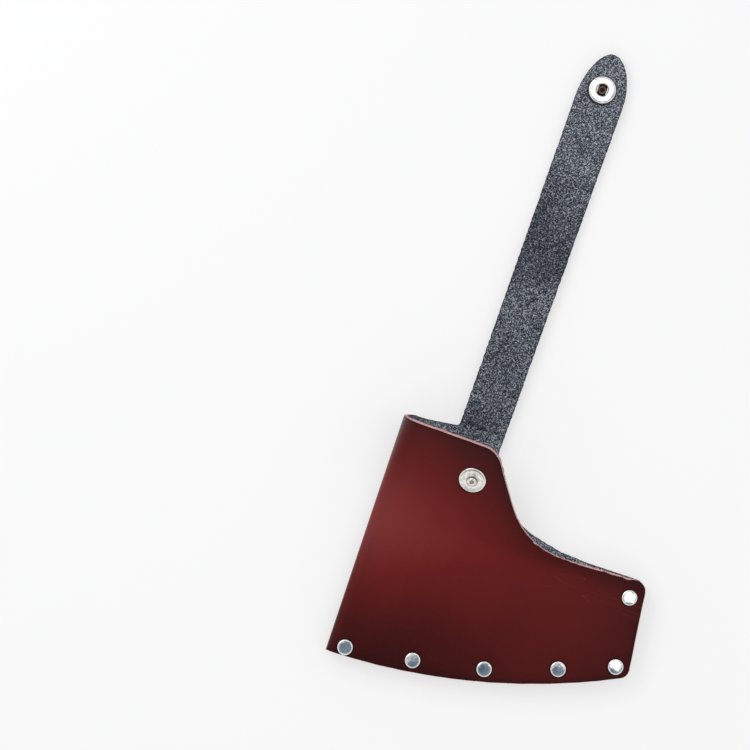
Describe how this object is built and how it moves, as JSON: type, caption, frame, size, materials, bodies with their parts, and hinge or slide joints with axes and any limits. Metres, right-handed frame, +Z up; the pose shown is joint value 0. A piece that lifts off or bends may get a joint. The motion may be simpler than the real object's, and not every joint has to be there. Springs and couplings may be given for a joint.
{
  "type": "axe sheath",
  "caption": "Folded and riveted leather blade sheath for a felling axe, lined with textile, with a long strap that wraps the poll and closes on a snap stud.",
  "frame": {"origin": "axis of the toe rivet at the plane of the rivet feet that the sheath lies on", "axes": "+X from the fold towards the heel of the blade, +Y from the cutting edge towards the mouth and along the strap, +Z up out of the front panel"},
  "size_m": [0.1441, 0.3215, 0.0322],
  "materials": {
    "leather": "smooth, semi-gloss, dark oxblood red; cut edges pale pink",
    "lining": "matt grey textile flecked light and dark",
    "welt": "raw split leather",
    "nickel": "bright nickel plate",
    "spring_wire": "spring steel wire"
  },
  "bodies": {
    "sheath": {"sheath_leather": "leather", "sheath_lining": "lining", "edge_welt": "welt", "rivet_cap_1": "nickel", "rivet_post_1": "nickel", "rivet_cap_2": "nickel", "rivet_post_2": "nickel", "rivet_cap_3": "nickel", "rivet_post_3": "nickel", "rivet_cap_4": "nickel", "rivet_post_4": "nickel", "rivet_cap_5": "nickel", "rivet_post_5": "nickel", "rivet_cap_6": "nickel", "rivet_post_6": "nickel", "snap_stud": "nickel", "snap_eyelet": "nickel"},
    "strap_1": {"strap_leather_1": "leather", "strap_lining_1": "lining"},
    "strap_2": {"strap_leather_2": "leather", "strap_lining_2": "lining"},
    "strap_3": {"strap_leather_3": "leather", "strap_lining_3": "lining"},
    "strap_4": {"strap_leather_4": "leather", "strap_lining_4": "lining"},
    "strap_5": {"strap_leather_5": "leather", "strap_lining_5": "lining"},
    "strap_6": {"strap_leather_6": "leather", "strap_lining_6": "lining"},
    "strap_7": {"strap_leather_7": "leather", "strap_lining_7": "lining", "snap_socket": "nickel", "snap_spring": "spring_wire", "snap_cap": "nickel"}
  },
  "joints": [
    {"name": "strap_root", "type": "hinge", "parent": "sheath", "child": "strap_1", "pos_m": [0.033, 0.1227, 0.0041], "axis": [1, 0, 0], "range_deg": [0, 14.2]},
    {"name": "poll_bend_1", "type": "hinge", "parent": "strap_1", "child": "strap_2", "pos_m": [0.033, 0.1807, 0.0041], "axis": [1, 0, 0], "range_deg": [0, 34.78]},
    {"name": "poll_bend_2", "type": "hinge", "parent": "strap_2", "child": "strap_3", "pos_m": [0.033, 0.1897, 0.0041], "axis": [1, 0, 0], "range_deg": [0, 34.78]},
    {"name": "poll_bend_3", "type": "hinge", "parent": "strap_3", "child": "strap_4", "pos_m": [0.033, 0.1987, 0.0041], "axis": [1, 0, 0], "range_deg": [0, 34.78]},
    {"name": "poll_bend_4", "type": "hinge", "parent": "strap_4", "child": "strap_5", "pos_m": [0.033, 0.2077, 0.0041], "axis": [1, 0, 0], "range_deg": [0, 34.78]},
    {"name": "poll_bend_5", "type": "hinge", "parent": "strap_5", "child": "strap_6", "pos_m": [0.033, 0.2167, 0.0041], "axis": [1, 0, 0], "range_deg": [0, 34.78]},
    {"name": "snap_bend", "type": "hinge", "parent": "strap_6", "child": "strap_7", "pos_m": [0.033, 0.267, 0.0041], "axis": [1, 0, 0], "range_deg": [0, 21.14]}
  ]
}
